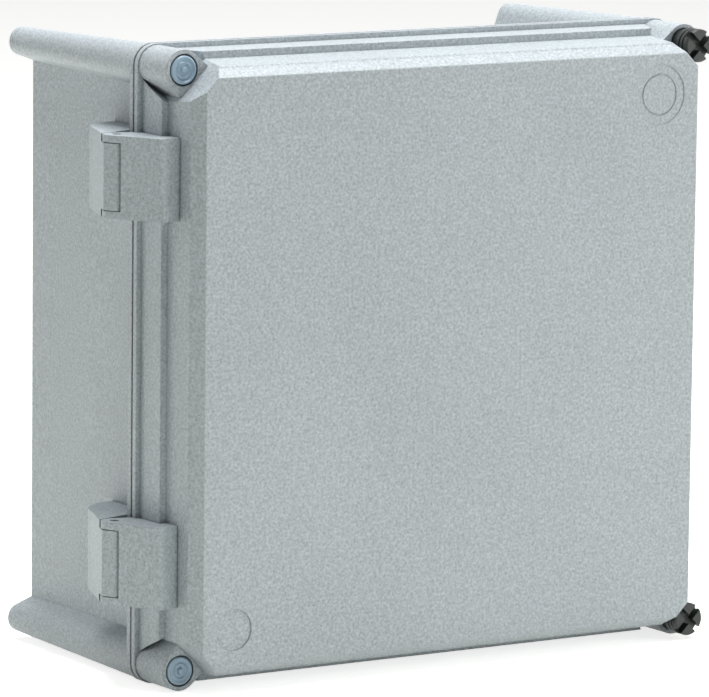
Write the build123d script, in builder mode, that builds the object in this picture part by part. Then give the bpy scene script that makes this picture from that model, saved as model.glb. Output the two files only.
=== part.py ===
from build123d import *
from math import atan2, cos, degrees, radians, sin, sqrt, tan
import os

# A square wall-mounted junction box: a deep base, a stepped lid on two side hinges, two
# quarter-turn screws opposite the hinges, and a plate, a rail and terminals inside.
#
# Frame: X to the right, Y towards the wall, Z up. The origin is the centre of the back face
# that lies on the wall. Depth counts forward from the wall, so depth d lies at Y = -d.
# Lengths are in millimetres and angles in degrees.

# Overall body
body_size = 278.0            # width and height over both rims
base_depth = 113.4           # wall to the base's rim face
lid_depth = 40.4             # lid's rim face to its front
seam_gap = 1.2               # open joint between the two rims
wall = 3.0                   # moulded wall, base and lid
floor_thickness = 3.5        # back wall of the base
draft = 1.3                  # draft of the base's sides
rim_corner = 9.3             # corner radius of both rims
edge_round = 0.6             # small moulded edge radius

# Base
base_rim = 2.8               # thickness of the base's rim flange
side_inset = 12.5            # rim edge to the base's side wall
cavity_corner = 8.0          # inside corner radius
boss_inset = 44.0            # rim edge to the bosses that carry the plate
boss_radius = 6.0
boss_height = 9.0
rib_height = 5.0             # stiffening ribs on the floor
rib_pitch = 60.0
rib_length = 160.0

# Corner posts, on one pattern in the base and the lid
post_inset = 9.3             # rim edge to the posts' axes
base_post_radius = 8.9
base_web_slope = 20.0        # webs from post to side wall, measured from the wall's normal
channel_radius = 4.8         # way in for a fixing screw and its driver
post_floor = 5.0             # web that the fixing screw clamps
fixing_radius = 2.75         # hole for a 5 mm wall screw

# Seal
tongue_width = 2.0
tongue_set_back = 0.5        # side wall to the tongue
tongue_corner = 10.0
gasket_width = 3.8
gasket_nip = 0.3             # gasket face to tongue
groove_depth = 3.2
groove_side_gap = 0.1
groove_land = 1.5            # flange left inside the groove

# Lid
lid_rim = 2.8
lid_wall_inset = 2.3         # rim edge to the lid's side wall
lid_wall_depth = 18.9        # lid's rim face to the ledge
lid_wall_draft = 1.0
flange_thickness = 5.2       # inner flange that carries the gasket
ledge_inset = 5.7            # rim edge to the foot of the raised panel
panel_height = 15.5          # steep sides of the raised panel
panel_lean = 1.8
trim_height = 0.8            # small shoulder round the panel
trim_width = 0.9
bevel_width = 3.4            # bevel up to the front face
face_chamfer = 5.8           # cut corners of the front face
corner_draft = 0.6           # draft of the panel's cut corners
lid_post_radius = 8.7
lid_post_height = 25.4       # lid's rim face to the posts' front faces
lid_web_slope = 50.0
relief_reach = 5.8           # how far the relief round a post widens
seat_radius = 6.9            # counterbore for a plug or a seal
seat_depth = 2.4
lid_bore = 4.9

# Marks on the front face
knockout_radius = 9.0
knockout_set_in = 20.8       # face edge to the mark's centre, sideways
knockout_set_down = 17.9
knockout_groove = 0.8
knockout_depth = 0.5
halo_radius = 13.5
halo_depth = 0.25
badge_radius = 9.1
badge_set_in = 15.2
badge_set_up = 16.3
badge_depth = 0.5

# Hinges, each a leaf on the lid and a bracket on the base that meet at a pin outside the rims
hinge_inset = 55.5           # rim edge to the middle of a hinge
hinge_height = 35.6
pin_reach = 10.7             # rim edge out to the pin's axis
pin_forward = 4.1            # middle of the seam to the pin's axis
arm_radius = 6.0
arm_thickness = 3.1
end_float = 0.3              # arms to knuckle, along the pin
hinge_pin_radius = 2.0
pin_running_fit = 0.05
pin_grip_gap = 0.02
knuckle_radius = 7.2
knuckle_web = 4.7            # pin's axis to the inner side of the knuckle's web
leaf_window_gap = 1.1        # knuckle to the leaf's window
leaf_angle = 28.0            # leaf's outer face to the side wall
leaf_length = 26.6           # pin to the leaf's front corner
leaf_seat_front = 27.4       # lid's rim face to where the leaf meets the panel
leaf_corner = 3.0
bracket_angle = 20.3         # bracket's outer face to the side wall
bracket_length = 26.7        # pin to the back corner of the bracket
bracket_tail = 16.0          # back corner to where the bracket meets the wall
bracket_tail_radius = 20.0
opening_angle = 100.0        # lid's travel, until the arms meet the bracket
stop_clearance = 0.4
hinge_screw_spread = 18.0
hinge_screw_radius = 1.6
hinge_screw_grip = 8.0       # into the bracket
leaf_screw_grip = 5.5        # into the leaf
pilot_extra = 0.8            # pilot hole beyond the screw's end
bracket_screw_set_back = 26.0
leaf_screw_depth = 11.0      # lid's rim face to the leaf's screws
screw_hole_gap = 0.2
pilot_gap = 0.05
pan_head_radius = 3.4
pan_head_height = 2.0
recess_width = 1.0
recess_depth = 1.0

# Quarter-turn screws
head_radius = 7.4
head_foot_radius = 6.6
head_foot_height = 3.0
head_length = 12.1
head_groove = 0.7
head_ring_pitch = 2.6
head_slot_width = 3.0
head_slot_depth = 3.6
shank_radius = 4.6
turn_clearance = 0.4
lug_reach = 6.2
lug_width = 4.0
lug_thickness = 2.5
catch_ledge = 3.2            # ledge that the lugs pull on
catch_clearance = 0.6
catch_depth = 4.6            # pocket under the ledge
seal_thickness = 1.6
seal_radius = 6.3
clip_thickness = 1.0
clip_seat = 0.6              # depth of the clip's groove
pin_end = 0.5                # shank beyond the lugs
clip_radius = 6.3
clip_opening = 60.0

# Corner plugs
plug_radius = 6.2
plug_stem_radius = 4.85
plug_stem_length = 9.0
plug_ring = 0.5              # height and width of the raised rings
plug_ring_radius = 3.2
plug_button_radius = 1.1
plug_button = 1.1            # height of the centre button

# Mounting plate and rail
plate_inset = 28.0           # rim edge to the plate's edge
plate_thickness = 2.0
plate_notch = 16.0
plate_hole = 2.3
plate_slot_inset = 36.0      # plate's edge to its slots
plate_slot_length = 16.0
plate_screw_radius = 2.0
plate_screw_length = 9.0
rail_inset = 13.0            # plate's edge to the rail's end
rail_width = 35.0
rail_height = 7.5
rail_channel = 25.0
rail_sheet = 1.0
rail_slot_length = 15.0
rail_slot_pitch = 25.0
rail_slot_width = 5.2

# Terminals
terminal_count = 8
terminal_width = 6.1
terminal_pitch = 6.3
terminal_height = 46.0
terminal_body = 30.0         # rail face to the terminal's front
terminal_shoulder = 12.0
terminal_step = 20.0
terminal_top = 20.0
terminal_screw_radius = 1.9
terminal_screw_length = 7.0
terminal_screw_set_in = 6.0
terminal_entry_radius = 2.0
terminal_hook = 1.6
earth_width = 8.2
clamp_width = 9.5
clamp_height = 42.0
clamp_crown = 21.0           # flat front of the clamp
clamp_body = 20.0
fit_gap = 0.1                # loose fit between seated pieces

# Places worked out from the sizes above
half_body = body_size / 2
post = half_body - post_inset
post_pitch = 2 * post
boss = half_body - boss_inset
boss_pitch = 2 * boss
rim_back = base_depth - base_rim
lid_back = base_depth + seam_gap
lid_front = lid_back + lid_depth
base_half = half_body - side_inset
cavity_half = base_half - wall
tongue_half = base_half - tongue_set_back
tongue_middle = tongue_half - tongue_width / 2
ledge_depth = lid_back + lid_wall_depth
panel_half = half_body - ledge_inset
wall_lean = (lid_wall_depth - lid_rim) * tan(radians(lid_wall_draft))
trim_half = panel_half - panel_lean
bevel_half = trim_half - trim_width
face_half = bevel_half - bevel_width
panel_top = ledge_depth + panel_height
bevel_foot = panel_top + trim_height
post_front = lid_back + lid_post_height
flange_front = lid_back + flange_thickness
groove_half = tongue_middle + gasket_width / 2 + groove_side_gap
opening_half = groove_half - gasket_width - 2 * groove_side_gap - groove_land
face_corner = 2 * face_half - face_chamfer
groove_width = gasket_width + 2 * groove_side_gap
hollow_half = half_body - lid_wall_inset - wall_lean - wall
relief_radius = lid_post_radius + relief_reach
relief_foot = post - sqrt(relief_radius**2 - (post - panel_half) ** 2)
hollow_cut = 2 * hollow_half - (panel_half - wall) - (relief_foot - wall)

head_back = post_front + turn_clearance
head_front = head_back + head_length
lug_front = base_depth - catch_ledge - catch_clearance
shank_tip = lug_front - lug_thickness - pin_end
clip_back = lid_back + seat_depth - turn_clearance - clip_thickness
clip_seat_radius = shank_radius - clip_seat

hinge_middle = half_body - hinge_inset
pin_out = half_body + pin_reach
pin_depth = base_depth + seam_gap / 2 + pin_forward
knuckle_height = hinge_height - 2 * arm_thickness - 2 * end_float
leaf_normal = 180 - leaf_angle
bracket_normal = 180 + bracket_angle
stop_normal = leaf_normal + opening_angle
bracket_screw_depth = pin_depth - bracket_screw_set_back

plate_back = floor_thickness + boss_height
plate_front = plate_back + plate_thickness
plate_half = half_body - plate_inset
plate_slot_pitch = 2 * (plate_half - plate_slot_inset)
rail_front = plate_front + rail_height
rail_length = 2 * (plate_half - rail_inset)
rail_slots = int(rail_length // rail_slot_pitch)
rail_screw_pitch = (rail_slots - 1) * rail_slot_pitch
terminal_row = (terminal_count * terminal_pitch + earth_width + fit_gap) / 2

os.makedirs("parts", exist_ok=True)


def front(depth):
    """Sketch plane parallel to the wall, drawn as seen from the front."""
    return Plane.XZ.offset(depth)


def save(piece, name):
    """Label a finished piece and write its STEP file."""
    piece.part.label = name
    export_step(piece.part, f"parts/{name}.step")


def base_side(depth):
    """Distance from the centre to the base's drafted side wall."""
    return base_half - (rim_back - depth) * tan(radians(draft))


def lid_side(depth):
    """Distance from the centre to the lid's drafted side wall."""
    rise = depth - lid_back - lid_rim
    return half_body - lid_wall_inset - rise * tan(radians(lid_wall_draft))


def panel_side(depth):
    """Distance from the centre to the raised panel's steep side."""
    return panel_half - (depth - ledge_depth) * panel_lean / panel_height


def bevel_side(depth):
    """Distance from the centre to the bevel round the front face."""
    return bevel_half - (depth - bevel_foot) * bevel_width / (lid_front - bevel_foot)


def hinge_screw_places(depth):
    """Screw positions of both hinges on a side wall, as (Y, Z) pairs at that depth."""
    spread = hinge_screw_spread / 2
    heights = (hinge_middle, -hinge_middle)
    return [(-depth, middle + side * spread) for middle in heights for side in (1, -1)]


def corner_webs(half, radius, slope):
    """Webs that run from a post's flanks to the sides of a square of that half-width."""
    lean = radians(slope)
    touch_out = post + radius * sin(lean)
    touch_in = post - radius * cos(lean)
    foot = touch_in - (touch_out - half) * tan(lean)
    Polygon(
        (half, foot),
        (touch_out, touch_in),
        (post, post),
        (touch_in, touch_out),
        (foot, half),
        align=None,
    )
    mirror(about=Plane.YZ)
    mirror(about=Plane.XZ)


def cut_square(depth, half, inset=0.0):
    """Square section with cut corners, a step of the raised panel or, inset, of its hollow."""
    lean = (lid_front - depth) * tan(radians(corner_draft))
    reach = face_corner + (lean - inset) * sqrt(2)
    side = 2 * (half - inset)
    with BuildSketch(front(depth)) as section:
        Rectangle(side, side)
        chamfer(section.vertices(), length=side - reach)
    return section.sketch


def ring(depth, outer_half, width, corner):
    """Closed square ring with rounded corners."""
    with BuildSketch(front(depth)) as section:
        RectangleRounded(2 * outer_half, 2 * outer_half, corner)
        RectangleRounded(
            2 * (outer_half - width), 2 * (outer_half - width), corner - width, mode=Mode.SUBTRACT
        )
    return section.sketch


# Base: drafted tub with a post at each corner and a rim flange
with BuildPart() as base:
    with BuildSketch(front(rim_back)):
        Rectangle(2 * base_half, 2 * base_half)
        with GridLocations(post_pitch, post_pitch, 2, 2):
            Circle(base_post_radius)
        corner_webs(base_half, base_post_radius, base_web_slope)
    extrude(amount=-rim_back, taper=draft)
    with BuildSketch(front(rim_back)):
        RectangleRounded(body_size, body_size, rim_corner)
    extrude(amount=base_rim)
    extrude(ring(base_depth, tongue_half, tongue_width, tongue_corner), amount=seam_gap)
    with BuildSketch(front(rim_back), mode=Mode.PRIVATE) as cavity:
        RectangleRounded(2 * cavity_half, 2 * cavity_half, cavity_corner)
    extrude(cavity.sketch, amount=floor_thickness - rim_back, taper=draft, mode=Mode.SUBTRACT)
    extrude(cavity.sketch, amount=base_rim + seam_gap, mode=Mode.SUBTRACT)
    # Bosses and ribs on the floor
    with BuildSketch(front(floor_thickness)):
        with GridLocations(boss_pitch, boss_pitch, 2, 2):
            Circle(boss_radius)
    extrude(amount=boss_height)
    with BuildSketch(front(floor_thickness)):
        with GridLocations(rib_pitch, 0, 3, 1):
            Rectangle(wall, rib_length)
    extrude(amount=rib_height)
    with BuildSketch(front(plate_back)):
        with GridLocations(boss_pitch, boss_pitch, 2, 2):
            Circle(plate_screw_radius + pilot_gap)
    extrude(amount=-boss_height, mode=Mode.SUBTRACT)
    # Channels down the posts, with the wall fixings at their ends
    with BuildSketch(front(base_depth)):
        with GridLocations(post_pitch, post_pitch, 2, 2):
            Circle(channel_radius)
    extrude(amount=post_floor - base_depth, mode=Mode.SUBTRACT)
    with BuildSketch(front(0)):
        with GridLocations(post_pitch, post_pitch, 2, 2):
            Circle(fixing_radius)
    extrude(amount=post_floor, mode=Mode.SUBTRACT)
    # Catches for the quarter-turn screws
    with BuildSketch(front(base_depth)):
        with Locations((post, post), (post, -post)):
            Circle(shank_radius + catch_clearance)
            Rectangle(lug_width + 2 * catch_clearance, 2 * (lug_reach + catch_clearance))
    extrude(amount=-catch_ledge, mode=Mode.SUBTRACT)
    with BuildSketch(front(base_depth - catch_ledge)):
        with Locations((post, post), (post, -post)):
            Circle(lug_reach + catch_clearance)
    extrude(amount=-catch_depth, mode=Mode.SUBTRACT)
    # Clearance holes for the hinge bracket screws
    with BuildSketch(Plane.YZ.offset(-half_body)):
        with Locations(*hinge_screw_places(bracket_screw_depth)):
            Circle(hinge_screw_radius + screw_hole_gap)
    extrude(amount=side_inset + 2 * wall, mode=Mode.SUBTRACT)
save(base, "base")


# Lid: rim, side walls, ledge and a raised panel with cut corners
lid_foot = lid_side(lid_back + lid_rim)
with BuildPart() as lid:
    with BuildSketch(front(lid_back)):
        RectangleRounded(body_size, body_size, rim_corner)
    extrude(amount=lid_rim)
    with BuildSketch(front(lid_back + lid_rim)):
        RectangleRounded(2 * lid_foot, 2 * lid_foot, lid_foot - post)
    extrude(amount=lid_wall_depth - lid_rim, taper=lid_wall_draft)
    # Flared reliefs round the posts, which open towards the front
    with BuildSketch(front(lid_back + lid_rim)):
        with GridLocations(post_pitch, post_pitch, 2, 2):
            Circle(lid_post_radius)
    extrude(
        amount=lid_wall_depth,
        taper=-degrees(atan2(relief_reach, lid_wall_depth - lid_rim)),
        mode=Mode.SUBTRACT,
    )
    extrude(cut_square(ledge_depth, panel_half), amount=-lid_wall_depth)
    loft([cut_square(ledge_depth, panel_half), cut_square(panel_top, trim_half)], ruled=True)
    loft([cut_square(panel_top, trim_half), cut_square(bevel_foot, bevel_half)], ruled=True)
    loft([cut_square(bevel_foot, bevel_half), cut_square(lid_front, face_half)], ruled=True)
    fillet(lid.faces().sort_by(Axis.Y)[0].edges(), radius=edge_round)
    # Posts that stand in the reliefs
    with BuildSketch(front(lid_back + lid_rim)):
        with GridLocations(post_pitch, post_pitch, 2, 2):
            Circle(lid_post_radius)
        corner_webs(panel_side(post_front) - wall / 2, lid_post_radius, lid_web_slope)
    extrude(amount=lid_post_height - lid_rim)
    # Hollow inside, with a flange round the opening
    with BuildSketch(front(lid_back)):
        RectangleRounded(2 * opening_half, 2 * opening_half, cavity_corner)
    extrude(amount=flange_thickness, mode=Mode.SUBTRACT)
    with BuildSketch(front(flange_front)) as hollow:
        Rectangle(2 * hollow_half, 2 * hollow_half)
        chamfer(hollow.vertices(), length=hollow_cut)
    extrude(amount=lid_wall_depth - flange_thickness - wall, mode=Mode.SUBTRACT)
    loft(
        [
            cut_square(ledge_depth - wall, panel_half, inset=wall),
            cut_square(panel_top - wall / 2, trim_half, inset=wall),
        ],
        ruled=True,
        mode=Mode.SUBTRACT,
    )
    loft(
        [
            cut_square(panel_top - wall / 2, trim_half, inset=wall),
            cut_square(lid_front - wall, bevel_side(lid_front - wall), inset=wall),
        ],
        ruled=True,
        mode=Mode.SUBTRACT,
    )
    # Gasket groove in the flange
    extrude(
        ring(lid_back, groove_half, groove_width, tongue_corner + groove_half - tongue_half),
        amount=groove_depth,
        mode=Mode.SUBTRACT,
    )
    # Bores and seats in the posts
    with BuildSketch(front(lid_back)):
        with GridLocations(post_pitch, post_pitch, 2, 2):
            Circle(lid_bore)
    extrude(amount=lid_post_height, mode=Mode.SUBTRACT)
    with BuildSketch(front(post_front)):
        with GridLocations(post_pitch, post_pitch, 2, 2):
            Circle(seat_radius)
    extrude(amount=-seat_depth, mode=Mode.SUBTRACT)
    with BuildSketch(front(lid_back)):
        with Locations((post, post), (post, -post)):
            Circle(seat_radius)
    extrude(amount=seat_depth, mode=Mode.SUBTRACT)
    # Round marks on the face: a knock-out circle in its shallow halo, and a bare recess
    with BuildSketch(front(lid_front)):
        with Locations((face_half - knockout_set_in, face_half - knockout_set_down)):
            Circle(halo_radius)
    extrude(amount=-halo_depth, mode=Mode.SUBTRACT)
    with BuildSketch(front(lid_front)):
        with Locations((face_half - knockout_set_in, face_half - knockout_set_down)):
            Circle(knockout_radius + knockout_groove / 2)
            Circle(knockout_radius - knockout_groove / 2, mode=Mode.SUBTRACT)
        with Locations((badge_set_in - face_half, badge_set_up - face_half)):
            Circle(badge_radius)
    extrude(amount=-knockout_depth, mode=Mode.SUBTRACT)
    # Clearance holes for the hinge leaf screws
    with BuildSketch(Plane.YZ.offset(-half_body)):
        with Locations(*hinge_screw_places(lid_back + leaf_screw_depth)):
            Circle(hinge_screw_radius + screw_hole_gap)
    extrude(amount=half_body - hollow_half + wall, mode=Mode.SUBTRACT)
save(lid, "lid")

# Gasket seated in the lid's groove
gasket_half = tongue_middle + gasket_width / 2
with BuildPart() as lid_gasket:
    extrude(
        ring(
            lid_back + gasket_nip,
            gasket_half,
            gasket_width,
            tongue_corner + gasket_half - tongue_half,
        ),
        amount=groove_depth - gasket_nip,
    )
save(lid_gasket, "lid_gasket")


def by_pin(angle, out, along=0.0):
    """Plan point by a hinge pin: out from its axis at an angle from X, then to the right."""
    turn = radians(angle)
    x = out * cos(turn) + along * sin(turn) - pin_out
    depth = pin_depth + out * sin(turn) - along * cos(turn)
    return (x, -depth)


def hinge_leaf(middle):
    """Hinge half on the lid: a slanted block that hugs the lid's steps, with two arms."""
    low = middle - hinge_height / 2
    rim_front = lid_back + lid_rim + fit_gap
    seat_front = lid_back + leaf_seat_front
    with BuildPart() as leaf:
        with BuildSketch(Plane.XY.offset(low)) as outline:
            Polygon(
                by_pin(leaf_normal, arm_radius),
                by_pin(leaf_normal, arm_radius, leaf_length),
                (-panel_side(seat_front) - fit_gap, -seat_front),
                (-panel_half - fit_gap, -ledge_depth - fit_gap),
                (-lid_side(ledge_depth) - fit_gap, -ledge_depth - fit_gap),
                (-lid_side(rim_front) - fit_gap, -rim_front),
                (-half_body - fit_gap, -rim_front),
                (-half_body - fit_gap, -lid_back),
                (-pin_out, arm_radius - pin_depth),
                align=None,
            )
            fillet(outline.vertices().sort_by(Axis.Y)[0], radius=leaf_corner)
            with Locations((-pin_out, -pin_depth)):
                Circle(arm_radius)
        extrude(amount=hinge_height)
        # Window that leaves an arm at each end
        with BuildSketch(Plane.XY.offset(low + arm_thickness)):
            with Locations((-pin_out, -pin_depth)):
                Circle(knuckle_radius + leaf_window_gap)
        extrude(amount=hinge_height - 2 * arm_thickness, mode=Mode.SUBTRACT)
        with BuildSketch(Plane.XY.offset(low)):
            with Locations((-pin_out, -pin_depth)):
                Circle(hinge_pin_radius + pin_grip_gap)
        extrude(amount=hinge_height, mode=Mode.SUBTRACT)
        with BuildSketch(Plane.YZ.offset(-lid_side(ledge_depth))):
            with Locations(*hinge_screw_places(lid_back + leaf_screw_depth)):
                Circle(hinge_screw_radius + pilot_gap)
        extrude(amount=-leaf_screw_grip - pilot_extra, mode=Mode.SUBTRACT)
    return leaf


def hinge_bracket(middle):
    """Hinge half on the base: a block with a curved tail and a knuckle between the arms."""
    stop = radians(stop_normal)
    lean = radians(stop_normal - bracket_normal)
    stop_radius = arm_radius + stop_clearance
    stop_reach = (arm_radius - stop_radius * cos(lean)) / sin(lean)
    stop_depth = pin_depth + (stop_radius - (pin_out - base_half) * cos(stop)) / sin(stop)
    corner = by_pin(bracket_normal, arm_radius, -bracket_length)
    tail_depth = -corner[1] - bracket_tail
    tail = (-base_side(tail_depth) - fit_gap, -tail_depth)
    apex_reach = arm_radius * tan(radians(leaf_angle + bracket_angle) / 2)
    with BuildPart() as bracket:
        with BuildSketch(Plane.XY.offset(middle - hinge_height / 2)):
            with BuildLine():
                Polyline(
                    corner,
                    by_pin(stop_normal, stop_radius, stop_reach),
                    (-base_side(stop_depth) - fit_gap, -stop_depth),
                    tail,
                )
                RadiusArc(tail, corner, -bracket_tail_radius)
            make_face()
        extrude(amount=hinge_height)
        # Knuckle with two flat sides, and the web that carries it
        with BuildSketch(Plane.XY.offset(middle - knuckle_height / 2)):
            with Locations((-pin_out, -pin_depth)):
                Circle(knuckle_radius)
            Polygon(
                by_pin(leaf_normal, arm_radius, -apex_reach),
                by_pin(leaf_normal, arm_radius, 2 * knuckle_radius),
                by_pin(0, 2 * knuckle_radius),
                by_pin(bracket_normal, arm_radius, -2 * knuckle_radius),
                align=None,
                mode=Mode.INTERSECT,
            )
            Polygon(
                (-pin_out, -pin_depth),
                by_pin(bracket_normal, arm_radius),
                corner,
                (knuckle_web - pin_out, corner[1]),
                (knuckle_web - pin_out, -pin_depth),
                align=None,
            )
        extrude(amount=knuckle_height)
        with BuildSketch(Plane.XY.offset(middle - hinge_height / 2)):
            with Locations((-pin_out, -pin_depth)):
                Circle(hinge_pin_radius + pin_running_fit)
        extrude(amount=hinge_height, mode=Mode.SUBTRACT)
        with BuildSketch(Plane.YZ.offset(-base_side(bracket_screw_depth))):
            with Locations(*hinge_screw_places(bracket_screw_depth)):
                Circle(hinge_screw_radius + pilot_gap)
        extrude(amount=-hinge_screw_grip - pilot_extra, mode=Mode.SUBTRACT)
    return bracket


def hinge_pin(middle):
    """Straight pin, a little shorter than the hinge so that its ends sit below the arms."""
    with BuildPart() as pin:
        with BuildSketch(Plane.XY.offset(middle - hinge_height / 2 + end_float)):
            with Locations((-pin_out, -pin_depth)):
                Circle(hinge_pin_radius)
        extrude(amount=hinge_height - 2 * end_float)
    return pin


for place, middle in (("upper", hinge_middle), ("lower", -hinge_middle)):
    save(hinge_leaf(middle), f"hinge_leaf_{place}")
    save(hinge_bracket(middle), f"hinge_bracket_{place}")
    save(hinge_pin(middle), f"hinge_pin_{place}")


def side_screws(head_out, depth, length):
    """Pan-head screws that hold both hinges, driven outwards from inside a side wall."""
    with BuildPart() as screws:
        with BuildSketch(Plane.YZ.offset(-head_out)):
            with Locations(*hinge_screw_places(depth)):
                Circle(pan_head_radius)
        extrude(amount=pan_head_height)
        with BuildSketch(Plane.YZ.offset(-head_out)):
            with Locations(*hinge_screw_places(depth)):
                Circle(hinge_screw_radius)
        extrude(amount=-length)
        with BuildSketch(Plane.YZ.offset(pan_head_height - head_out)):
            with Locations(*hinge_screw_places(depth)):
                Rectangle(recess_width, 2 * pan_head_radius)
        extrude(amount=-recess_depth, mode=Mode.SUBTRACT)
    return screws


save(
    side_screws(
        base_side(bracket_screw_depth) - wall - fit_gap,
        bracket_screw_depth,
        wall + hinge_screw_grip,
    ),
    "hinge_bracket_screws",
)
save(
    side_screws(hollow_half - fit_gap, lid_back + leaf_screw_depth, wall + leaf_screw_grip),
    "hinge_leaf_screws",
)


def post_axis(height):
    """Plane through a right-hand post's axis, and the axis itself."""
    section = Plane(origin=(post, 0, height), x_dir=(1, 0, 0), z_dir=(0, 0, 1))
    return section, Axis((post, 0, height), (0, 1, 0))


def quick_screw(height):
    """Quarter-turn screw: ringed head with a cross slot, shank, clip groove and two lugs."""
    section, axis = post_axis(height)
    foot_top = head_back + head_foot_height
    with BuildPart() as screw:
        with BuildSketch(section):
            Polygon(
                (0, -shank_tip),
                (shank_radius, -shank_tip),
                (shank_radius, -head_back),
                (head_foot_radius, -head_back),
                (head_foot_radius, -foot_top),
                (head_radius, -foot_top - head_groove),
                (head_radius, -head_front + head_groove),
                (head_radius - head_groove, -head_front),
                (0, -head_front),
                align=None,
            )
            for turn in (1, 2):
                groove = foot_top + head_groove + turn * head_ring_pitch
                Polygon(
                    (head_radius - head_groove, -groove + head_groove / 2),
                    (head_radius + head_groove, -groove + head_groove),
                    (head_radius + head_groove, -groove - head_groove),
                    (head_radius - head_groove, -groove - head_groove / 2),
                    align=None,
                    mode=Mode.SUBTRACT,
                )
            Polygon(
                (clip_seat_radius, -clip_back + fit_gap),
                (head_radius, -clip_back + fit_gap),
                (head_radius, -clip_back - clip_thickness - fit_gap),
                (clip_seat_radius, -clip_back - clip_thickness - fit_gap),
                align=None,
                mode=Mode.SUBTRACT,
            )
        revolve(axis=axis)
        with BuildSketch(front(lug_front)):
            with Locations((post, height)):
                Circle(lug_reach)
                Rectangle(lug_width, 2 * lug_reach, mode=Mode.INTERSECT)
        extrude(amount=-lug_thickness)
        with BuildSketch(front(head_front)):
            with Locations((post, height)):
                Rectangle(head_slot_width, 2 * head_radius, rotation=45)
                Rectangle(head_slot_width, 2 * head_radius, rotation=-45)
        extrude(amount=-head_slot_depth, mode=Mode.SUBTRACT)
    return screw


def screw_seal(height):
    """Rubber ring under a quarter-turn screw's head."""
    with BuildPart() as seal:
        with BuildSketch(front(head_back)):
            with Locations((post, height)):
                Circle(seal_radius)
                Circle(shank_radius, mode=Mode.SUBTRACT)
        extrude(amount=-seal_thickness)
    return seal


def screw_clip(height):
    """Open spring clip that keeps a quarter-turn screw in the lid."""
    with BuildPart() as clip:
        with BuildSketch(front(clip_back)):
            with Locations((post, height)):
                Circle(clip_radius)
                Circle(clip_seat_radius + fit_gap, mode=Mode.SUBTRACT)
            spread = clip_radius * tan(radians(clip_opening / 2))
            Polygon(
                (post, height),
                (post + clip_radius, height + spread),
                (post + clip_radius, height - spread),
                align=None,
                mode=Mode.SUBTRACT,
            )
        extrude(amount=clip_thickness)
    return clip


def corner_plug(height):
    """Round plug: a flange with raised rings and a centre button, on a stem."""
    section = Plane(origin=(-post, 0, height), x_dir=(1, 0, 0), z_dir=(0, 0, 1))
    flange_back = post_front - seat_depth
    rim_in = plug_radius - 2 * plug_ring
    with BuildPart() as plug:
        with BuildSketch(section):
            Polygon(
                (0, -flange_back + plug_stem_length),
                (plug_stem_radius - plug_ring, -flange_back + plug_stem_length),
                (plug_stem_radius, -flange_back + plug_stem_length - plug_ring),
                (plug_stem_radius, -flange_back),
                (plug_radius, -flange_back),
                (plug_radius, -post_front),
                (plug_radius - plug_ring, -post_front - plug_ring),
                (rim_in, -post_front - plug_ring),
                (rim_in - plug_ring, -post_front),
                (plug_ring_radius + plug_ring, -post_front),
                (plug_ring_radius, -post_front - plug_ring),
                (plug_ring_radius - plug_ring, -post_front),
                (plug_button_radius + plug_ring, -post_front),
                (plug_button_radius, -post_front - plug_button),
                (0, -post_front - plug_button),
                align=None,
            )
        revolve(axis=Axis((-post, 0, height), (0, 1, 0)))
    return plug


for place, height in (("upper", post), ("lower", -post)):
    save(quick_screw(height), f"quick_screw_{place}")
    save(screw_seal(height), f"screw_seal_{place}")
    save(screw_clip(height), f"screw_clip_{place}")
    save(corner_plug(height), f"corner_plug_{place}")

# Mounting plate on the four bosses
with BuildPart() as mounting_plate:
    with BuildSketch(front(plate_back)) as plate_outline:
        Rectangle(2 * plate_half, 2 * plate_half)
        chamfer(plate_outline.vertices(), length=plate_notch)
        with GridLocations(boss_pitch, boss_pitch, 2, 2):
            Circle(plate_hole, mode=Mode.SUBTRACT)
        with GridLocations(rail_screw_pitch, 0, 2, 1):
            Circle(plate_screw_radius + pilot_gap, mode=Mode.SUBTRACT)
        with GridLocations(plate_slot_pitch, plate_slot_pitch, 2, 2):
            SlotOverall(plate_slot_length, rail_slot_width, mode=Mode.SUBTRACT)
    extrude(amount=plate_thickness)
save(mounting_plate, "mounting_plate")

# Top-hat rail, open towards the plate
with BuildPart() as din_rail:
    with BuildSketch(Plane.YZ.offset(-rail_length / 2)):
        for side in (1, -1):
            Polygon(
                (-plate_front, 0),
                (-plate_front, side * rail_channel / 2),
                (rail_sheet - rail_front, side * rail_channel / 2),
                (rail_sheet - rail_front, side * rail_width / 2),
                (-rail_front, side * rail_width / 2),
                (-rail_front, side * (rail_channel / 2 - rail_sheet)),
                (-plate_front - rail_sheet, side * (rail_channel / 2 - rail_sheet)),
                (-plate_front - rail_sheet, 0),
                align=None,
            )
    extrude(amount=rail_length)
    with BuildSketch(front(plate_front)):
        with GridLocations(rail_slot_pitch, 0, rail_slots, 1):
            SlotOverall(rail_slot_length, rail_slot_width)
    extrude(amount=rail_sheet, mode=Mode.SUBTRACT)
save(din_rail, "din_rail")


def front_screws(places, head_back_depth, length):
    """Pan-head screws driven towards the wall."""
    with BuildPart() as screws:
        with BuildSketch(front(head_back_depth)):
            with Locations(*places):
                Circle(pan_head_radius)
        extrude(amount=pan_head_height)
        with BuildSketch(front(head_back_depth)):
            with Locations(*places):
                Circle(plate_screw_radius)
        extrude(amount=-length)
        with BuildSketch(front(head_back_depth + pan_head_height)):
            with Locations(*places):
                Rectangle(recess_width, 2 * pan_head_radius)
        extrude(amount=-recess_depth, mode=Mode.SUBTRACT)
    return screws


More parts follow.
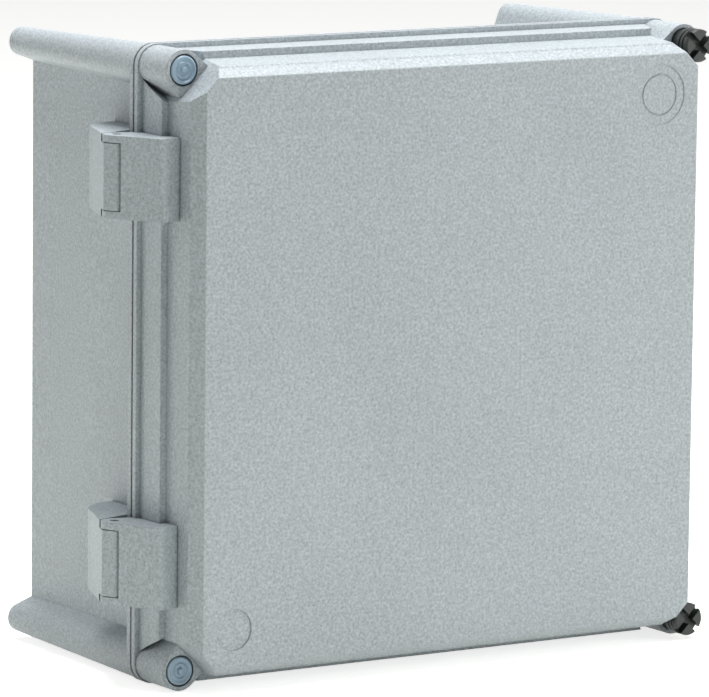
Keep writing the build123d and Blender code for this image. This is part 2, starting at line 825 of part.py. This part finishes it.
plate_places = [(boss, boss), (-boss, boss), (-boss, -boss), (boss, -boss)]
save(front_screws(plate_places, plate_front, plate_screw_length), "plate_screws")
rail_places = [(rail_screw_pitch / 2, 0), (-rail_screw_pitch / 2, 0)]
rail_screw_length = rail_sheet + plate_thickness + pan_head_height
save(front_screws(rail_places, plate_front + rail_sheet, rail_screw_length), "rail_screws")


def rail_foot(clear):
    """Feet that grip both edges of the rail, in the section across the rail."""
    edge = rail_width / 2 + clear
    for side in (1, -1):
        Polygon(
            (-rail_front - clear, side * edge),
            (-rail_front + rail_sheet + clear, side * edge),
            (-rail_front + rail_sheet + clear, side * (edge - terminal_hook)),
            (-rail_front + rail_sheet + 2 * terminal_hook, side * (edge - terminal_hook)),
            (-rail_front + rail_sheet + 2 * terminal_hook, side * (edge + 2 * terminal_hook)),
            (-rail_front - clear, side * (edge + 2 * terminal_hook)),
            align=None,
        )


def terminal_block(left, width):
    """Rail terminal: stepped body with a wire entry and a screw well at each end."""
    half = terminal_height / 2
    seat = rail_front + fit_gap
    shoulder = half - terminal_screw_set_in - terminal_screw_radius - wall / 2
    with BuildPart() as block:
        with BuildSketch(Plane.YZ.offset(left)):
            for side in (1, -1):
                Polygon(
                    (-seat, 0),
                    (-seat, side * half),
                    (-seat - terminal_shoulder, side * half),
                    (-seat - terminal_step, side * (half - wall)),
                    (-seat - terminal_step, side * shoulder),
                    (-seat - terminal_body, side * (shoulder - wall / 2)),
                    (-seat - terminal_body, 0),
                    align=None,
                )
            rail_foot(fit_gap)
        extrude(amount=width)
        middle = left + width / 2
        well = half - terminal_screw_set_in
        with BuildSketch(front(seat + terminal_step)):
            with Locations((middle, well), (middle, -well)):
                Circle(terminal_screw_radius + fit_gap)
        extrude(amount=-terminal_screw_length - wall, mode=Mode.SUBTRACT)
        for side in (1, -1):
            with BuildSketch(Plane.XY.offset(side * half)):
                with Locations((middle, -seat - terminal_shoulder / 2)):
                    Circle(terminal_entry_radius)
            extrude(amount=-side * 2 * terminal_screw_set_in, mode=Mode.SUBTRACT)
    return block


def end_clamp(left):
    """Clamp that stops the row of terminals from sliding along the rail."""
    with BuildPart() as clamp:
        with BuildSketch(Plane.YZ.offset(left)):
            for side in (1, -1):
                Polygon(
                    (-rail_front - fit_gap, 0),
                    (-rail_front - fit_gap, side * clamp_height / 2),
                    (-rail_front - clamp_body / 2, side * clamp_height / 2),
                    (-rail_front - clamp_body, side * clamp_crown / 2),
                    (-rail_front - clamp_body, 0),
                    align=None,
                )
            rail_foot(fit_gap)
        extrude(amount=clamp_width)
        with BuildSketch(front(rail_front + clamp_body)):
            with Locations((left + clamp_width / 2, 0)):
                Circle(terminal_screw_radius + fit_gap)
        extrude(amount=-terminal_screw_length - wall, mode=Mode.SUBTRACT)
    return clamp


def well_screws(places, head_depth):
    """Slotted clamp screws, sunk in their wells."""
    with BuildPart() as screws:
        with BuildSketch(front(head_depth)):
            with Locations(*places):
                Circle(terminal_screw_radius)
        extrude(amount=-terminal_screw_length)
        with BuildSketch(front(head_depth)):
            with Locations(*places):
                Rectangle(2 * terminal_screw_radius, recess_width)
        extrude(amount=-recess_depth, mode=Mode.SUBTRACT)
    return screws


lefts = [number * terminal_pitch - terminal_row for number in range(terminal_count)]
for number, left in enumerate(lefts, start=1):
    save(terminal_block(left, terminal_width), f"terminal_block_{number}")
earth_left = terminal_row - earth_width
save(terminal_block(earth_left, earth_width), "earth_terminal")
save(end_clamp(-terminal_row - clamp_width - fit_gap), "end_clamp_left")
save(end_clamp(terminal_row + fit_gap), "end_clamp_right")

well_height = terminal_height / 2 - terminal_screw_set_in
wells = [(left + terminal_width / 2, side * well_height) for left in lefts for side in (1, -1)]
earth_wells = [(earth_left + earth_width / 2, side * well_height) for side in (1, -1)]
save(
    well_screws(wells + earth_wells, rail_front + fit_gap + terminal_step - wall),
    "terminal_screws",
)
clamp_middle = terminal_row + fit_gap + clamp_width / 2
save(
    well_screws([(clamp_middle, 0), (-clamp_middle, 0)], rail_front + clamp_body - recess_depth),
    "end_clamp_screws",
)
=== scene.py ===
import math

import bpy
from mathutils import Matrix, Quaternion, Vector


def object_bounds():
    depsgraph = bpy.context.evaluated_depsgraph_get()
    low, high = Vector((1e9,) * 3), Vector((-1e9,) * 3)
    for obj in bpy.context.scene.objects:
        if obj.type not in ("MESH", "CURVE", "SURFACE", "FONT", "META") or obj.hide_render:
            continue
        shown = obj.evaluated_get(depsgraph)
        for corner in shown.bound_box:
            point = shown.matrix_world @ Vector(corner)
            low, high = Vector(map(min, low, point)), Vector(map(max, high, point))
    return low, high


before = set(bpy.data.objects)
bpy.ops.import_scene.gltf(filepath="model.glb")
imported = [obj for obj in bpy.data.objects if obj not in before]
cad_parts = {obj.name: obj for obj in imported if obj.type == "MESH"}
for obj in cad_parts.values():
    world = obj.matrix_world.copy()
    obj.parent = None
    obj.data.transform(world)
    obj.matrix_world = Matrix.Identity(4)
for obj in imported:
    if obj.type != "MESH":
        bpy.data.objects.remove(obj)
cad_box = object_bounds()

# Dresses a grey moulded junction box. Places are in metres. Grains, reliefs, rounded edges
# and bands are given in millimetres, as multiples of MM.
MM = 0.001

WHITE = "#ffffff"
NOISE_LOW, NOISE_HIGH = 0.3, 0.7     # a noise texture seldom goes beyond these values

POLYCARBONATE_IOR = 1.585
POLYAMIDE_IOR = 1.53
RUBBER_IOR = 1.52

# Sockets of the Mix node in its colour form, which share their names with other forms
MIX_FACTOR, MIX_FIRST, MIX_SECOND, MIX_RESULT = 0, 6, 7, 2


def linear(hex_colour, factor=1.0):
    """Linear colour of an sRGB hex value, made lighter or darker by the factor."""
    channels = [int(hex_colour[i:i + 2], 16) / 255 for i in (1, 3, 5)]
    curve = [c / 12.92 if c <= 0.04045 else ((c + 0.055) / 1.055) ** 2.4 for c in channels]
    return (*(c * factor for c in curve), 1.0)


def add(tree, kind, inputs=(), **settings):
    """Adds a node with its settings; an input is linked if it is given a socket."""
    node = tree.nodes.new(kind)
    for name, value in settings.items():
        setattr(node, name, value)
    for name, value in dict(inputs).items():
        if isinstance(value, bpy.types.NodeSocket):
            tree.links.new(value, node.inputs[name])
        else:
            node.inputs[name].default_value = value
    return node


def mixed(tree, factor, first, second, blend="MIX"):
    """Mix of two colours."""
    node = add(tree, "ShaderNodeMix", {MIX_FACTOR: factor, MIX_FIRST: first, MIX_SECOND: second},
               data_type="RGBA", blend_type=blend)
    return node.outputs[MIX_RESULT]


def multiplied(tree, first, second):
    """One colour darkened or lightened by another."""
    return mixed(tree, 1.0, first, second, "MULTIPLY")


def spread(tree, value, *, low=0.0, high=1.0, from_low=0.0, from_high=1.0):
    """Value moved from one range to another."""
    node = add(tree, "ShaderNodeMapRange", {"Value": value, "From Min": from_low,
                                            "From Max": from_high, "To Min": low,
                                            "To Max": high})
    return node.outputs["Result"]


def per_mm(size):
    """Texture scale at which one feature is about that many millimetres across."""
    return 1 / (size * MM)


def noise(tree, place, size, detail, roughness=0.5):
    """Noise with features of about that many millimetres."""
    node = add(tree, "ShaderNodeTexNoise", {"Vector": place, "Scale": per_mm(size),
                                            "Detail": detail, "Roughness": roughness})
    return node.outputs["Fac"]


def rounded_edges(tree, radius, samples=4):
    """Normal that rounds the edges by a radius in millimetres."""
    return add(tree, "ShaderNodeBevel", {"Radius": radius * MM}, samples=samples).outputs[0]


def relief(tree, height, *, depth, strength, normal=None):
    """Normal with a fine relief, its depth in millimetres."""
    inputs = {"Strength": strength, "Distance": depth * MM, "Height": height}
    if normal:
        inputs["Normal"] = normal
    return add(tree, "ShaderNodeBump", inputs).outputs[0]


def new_material(name):
    """Empty material with its node tree and object coordinates in metres."""
    material = bpy.data.materials.new(name)
    material.use_nodes = True
    tree = material.node_tree
    tree.nodes.clear()
    place = add(tree, "ShaderNodeTexCoord").outputs["Object"]
    return material, tree, place


def finish_surface(material, tree, shader):
    """Sends the shader to the surface output."""
    add(tree, "ShaderNodeOutputMaterial", {"Surface": shader.outputs[0]})
    return material


def spark_grain(name, colour, roughness, edge, grain=1.2, speckle=0.3):
    """Moulded polycarbonate with a spark-eroded grain: matt, with a fine even speckle and shade
    painted into its seams and grooves.
    """
    material, tree, place = new_material(name)
    # The real grain is about 0.1 mm. It is drawn as coarse as it needs to be to show.
    fine = noise(tree, place, size=grain, detail=3.0, roughness=0.65)
    tone = spread(tree, fine, from_low=NOISE_LOW, from_high=NOISE_HIGH)
    speckled = mixed(tree, tone, linear(colour, 1 - speckle), linear(colour, 1 + speckle))
    # The colour drifts a little over the large faces
    flow = noise(tree, place, size=70, detail=2.0)
    drift = spread(tree, flow, low=0.965, high=1.03, from_low=NOISE_LOW, from_high=NOISE_HIGH)
    drifted = multiplied(tree, speckled, drift)
    # Painted shade: the colour is darkened where the seams, grooves and the gaps round the plugs
    # and hinges are occluded
    crevice_occlusion = add(tree, "ShaderNodeAmbientOcclusion", {"Distance": 3 * MM}, samples=8)
    shade = spread(tree, crevice_occlusion.outputs["AO"], low=0.2, from_low=0.1, from_high=0.75)
    shaded = multiplied(tree, drifted, shade)
    gloss = spread(tree, fine, low=roughness - 0.08, high=roughness + 0.08)
    normal = relief(tree, fine, depth=0.06, strength=0.6,
                    normal=rounded_edges(tree, radius=edge, samples=6))
    shader = add(tree, "ShaderNodeBsdfPrincipled", {
        "Base Color": shaded, "Roughness": gloss, "IOR": POLYCARBONATE_IOR, "Normal": normal})
    return finish_surface(material, tree, shader)


def rubber(name, colour, pore):
    """Moulded rubber: dark and matt, with fine pores."""
    material, tree, place = new_material(name)
    pores = add(tree, "ShaderNodeTexVoronoi", {"Vector": place, "Scale": per_mm(pore)})
    bloom = noise(tree, place, size=9, detail=3.0)
    shader = add(tree, "ShaderNodeBsdfPrincipled", {
        "Base Color": mixed(tree, bloom, linear(colour), linear(colour, 1.5)),
        "Roughness": 0.75, "IOR": RUBBER_IOR,
        "Normal": relief(tree, pores.outputs["Distance"], depth=0.05, strength=0.5)})
    return finish_surface(material, tree, shader)


def bright_metal(name, colour, grain, roughness):
    """Plated, drawn or spring steel: soft metal shine with a faint clouded grain."""
    material, tree, place = new_material(name)
    clouds = noise(tree, place, size=grain, detail=5.0, roughness=0.6)
    gloss = spread(tree, clouds, low=roughness - 0.1, high=roughness + 0.12)
    normal = relief(tree, clouds, depth=0.03, strength=0.3,
                    normal=rounded_edges(tree, radius=0.2))
    shader = add(tree, "ShaderNodeBsdfPrincipled", {
        "Base Color": mixed(tree, clouds, linear(colour, 0.8), linear(colour)),
        "Metallic": 1.0, "Roughness": gloss, "Normal": normal})
    return finish_surface(material, tree, shader)


def polyamide(name, colour, roughness):
    """Moulded polyamide: satin, with a slight waxy mottle."""
    material, tree, place = new_material(name)
    skin = noise(tree, place, size=0.6, detail=2.0)
    wax = noise(tree, place, size=6, detail=3.0)
    gloss = spread(tree, wax, low=roughness - 0.07, high=roughness + 0.07)
    normal = relief(tree, skin, depth=0.03, strength=0.4,
                    normal=rounded_edges(tree, radius=0.3))
    shader = add(tree, "ShaderNodeBsdfPrincipled", {
        "Base Color": mixed(tree, wax, linear(colour, 0.86), linear(colour)),
        "Roughness": gloss, "IOR": POLYAMIDE_IOR, "Normal": normal})
    return finish_surface(material, tree, shader)


def earth_stripes(name, green, yellow, period):
    """Green and yellow moulded polyamide of an earth terminal, in bands up its height."""
    material, tree, place = new_material(name)
    radians_per_unit = 20     # of Blender's wave texture, at a scale of 1
    waves = add(tree, "ShaderNodeTexWave", {
        "Vector": place, "Scale": 2 * math.pi / radians_per_unit * per_mm(period)},
        bands_direction="Z")
    sharp = spread(tree, waves.outputs["Fac"], from_low=0.45, from_high=0.55)
    shader = add(tree, "ShaderNodeBsdfPrincipled", {
        "Base Color": mixed(tree, sharp, linear(green), linear(yellow)),
        "Roughness": 0.4, "IOR": POLYAMIDE_IOR, "Normal": rounded_edges(tree, radius=0.3)})
    return finish_surface(material, tree, shader)


def dress(material, *names):
    """Gives CAD nodes their material."""
    for name in names:
        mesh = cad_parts[name].data
        mesh.materials.clear()
        mesh.materials.append(material)


def pair(name):
    """Names of the upper and the lower node of a kind."""
    return f"{name}_upper", f"{name}_lower"


def dress_outside():
    """Finishes of the housing, hinges, quarter-turn screws and plugs."""
    dress(spark_grain("housing_grey_polycarbonate", "#adb6bb", roughness=0.5, edge=0.8),
          "base", "lid")
    dress(spark_grain("hinge_grey_polycarbonate", "#abb5ba", roughness=0.55, edge=0.6),
          *pair("hinge_leaf"), *pair("hinge_bracket"))
    dress(polyamide("screw_black_polyamide", "#0c1713", roughness=0.42), *pair("quick_screw"))
    dress(polyamide("plug_blue_grey_polyamide", "#a4bfd4", roughness=0.25), *pair("corner_plug"))


def dress_seals():
    """Finishes of the lid's gasket and the seals under the quarter-turn screws."""
    dress(rubber("gasket_foam_rubber", "#2a2a2b", pore=0.8), "lid_gasket")
    dress(rubber("seal_nitrile_rubber", "#161616", pore=0.4), *pair("screw_seal"))


def dress_metal():
    """Finishes of the clips, pins, sheet metal and small screws."""
    dress(bright_metal("blued_spring_steel", "#70757c", grain=2, roughness=0.3),
          *pair("screw_clip"))
    dress(bright_metal("drawn_stainless_pin", "#c4c6c8", grain=1.5, roughness=0.25),
          *pair("hinge_pin"))
    dress(bright_metal("zinc_plated_sheet", "#b4b8bb", grain=12, roughness=0.38),
          "mounting_plate", "din_rail")
    dress(bright_metal("zinc_plated_screw", "#c2c1b8", grain=2, roughness=0.3),
          "hinge_bracket_screws", "hinge_leaf_screws", "plate_screws", "rail_screws",
          "terminal_screws", "end_clamp_screws")


def dress_terminals():
    """Finishes of the terminals on the rail and the clamps at their ends."""
    dress(polyamide("terminal_grey_polyamide", "#9a9a92", roughness=0.42),
          *(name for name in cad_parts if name.startswith("terminal_block_")))
    dress(polyamide("end_clamp_grey_polyamide", "#7f837e", roughness=0.42),
          "end_clamp_left", "end_clamp_right")
    dress(earth_stripes("earth_terminal_polyamide", "#2f7d3a", "#e0c524", period=56.55),
          "earth_terminal")


def seen_directly(tree):
    """1 for the camera's rays and for reflections, 0 for the rays that light the box."""
    rays = add(tree, "ShaderNodeLightPath")
    return add(tree, "ShaderNodeMath", {0: rays.outputs["Is Camera Ray"],
                                        1: rays.outputs["Is Glossy Ray"]}, operation="MAXIMUM")


def pale_floor():
    """Plain pale floor under the box, which looks nearly white where no shadow falls."""
    bpy.ops.mesh.primitive_plane_add(size=12, location=(0, 0, cad_box[0].z))
    floor = bpy.context.object
    floor.name = "floor"
    material, tree, _ = new_material("floor_pale_paint")
    paint = add(tree, "ShaderNodeBsdfDiffuse", {"Color": linear("#f7f7f0")})
    glow = add(tree, "ShaderNodeEmission", {"Color": linear(WHITE), "Strength": 0.74})
    glowing = add(tree, "ShaderNodeAddShader", {0: paint.outputs[0], 1: glow.outputs[0]})
    shader = add(tree, "ShaderNodeMixShader", {0: seen_directly(tree).outputs[0],
                                               1: paint.outputs[0], 2: glowing.outputs[0]})
    floor.data.materials.append(finish_surface(material, tree, shader))


def soft_box(name, place, size, power):
    """Square soft light that points at the box."""
    light = bpy.data.lights.new(name, "AREA")
    light.energy = power
    light.size = size
    lamp = bpy.data.objects.new(name, light)
    box_middle = Vector((0, -0.08, 0))
    lamp.location = place
    lamp.rotation_mode = "QUATERNION"
    lamp.rotation_quaternion = (box_middle - Vector(place)).to_track_quat("-Z", "Y")
    bpy.context.scene.collection.objects.link(lamp)


def studio():
    """Soft studio light: a white room, a large light overhead and one on either side."""
    world = bpy.data.worlds.new("studio")
    bpy.context.scene.world = world
    world.use_nodes = True
    tree = world.node_tree
    tree.nodes.clear()
    fill = add(tree, "ShaderNodeBackground", {"Color": linear(WHITE), "Strength": 0.08})
    wall = add(tree, "ShaderNodeBackground", {"Color": linear(WHITE), "Strength": 1.0})
    room = add(tree, "ShaderNodeMixShader", {0: seen_directly(tree).outputs[0],
                                             1: fill.outputs[0], 2: wall.outputs[0]})
    add(tree, "ShaderNodeOutputWorld", {"Surface": room.outputs[0]})
    soft_box("overhead_light", (0.1, -0.1, 1.7), size=1.3, power=46)
    soft_box("right_light", (1.75, -1.35, 0.45), size=1.0, power=17)
    soft_box("left_light", (-1.6, 1.2, 0.8), size=1.0, power=6)


def camera_in_front():
    """Long-lens camera in front of the box, to its left and a little above."""
    azimuth, elevation, roll = (math.radians(angle) for angle in (-32.94, 8.47, 0.63))
    distance = 2.68
    aim_left, aim_below = 0.0219, 0.0024     # of the middle of the seam, as the camera sees it
    seam_middle = Vector((0, -0.114, 0))
    back = Vector((math.sin(azimuth) * math.cos(elevation),
                   -math.cos(azimuth) * math.cos(elevation), math.sin(elevation)))
    right = Vector((math.cos(azimuth), math.sin(azimuth), 0))
    up = back.cross(right)
    aim = seam_middle - right * aim_left - up * aim_below
    camera = bpy.data.objects.new("camera", bpy.data.cameras.new("camera"))
    camera.data.lens = 308.2
    camera.data.sensor_width = 36
    camera.location = seam_middle + back * distance
    look = (aim - camera.location).to_track_quat("-Z", "Y")
    camera.rotation_mode = "QUATERNION"
    camera.rotation_quaternion = look @ Quaternion((0, 0, 1), roll)
    bpy.context.scene.collection.objects.link(camera)
    bpy.context.scene.camera = camera


dress_outside()
dress_seals()
dress_metal()
dress_terminals()
pale_floor()
studio()
camera_in_front()
bpy.context.scene.view_settings.view_transform = "Standard"
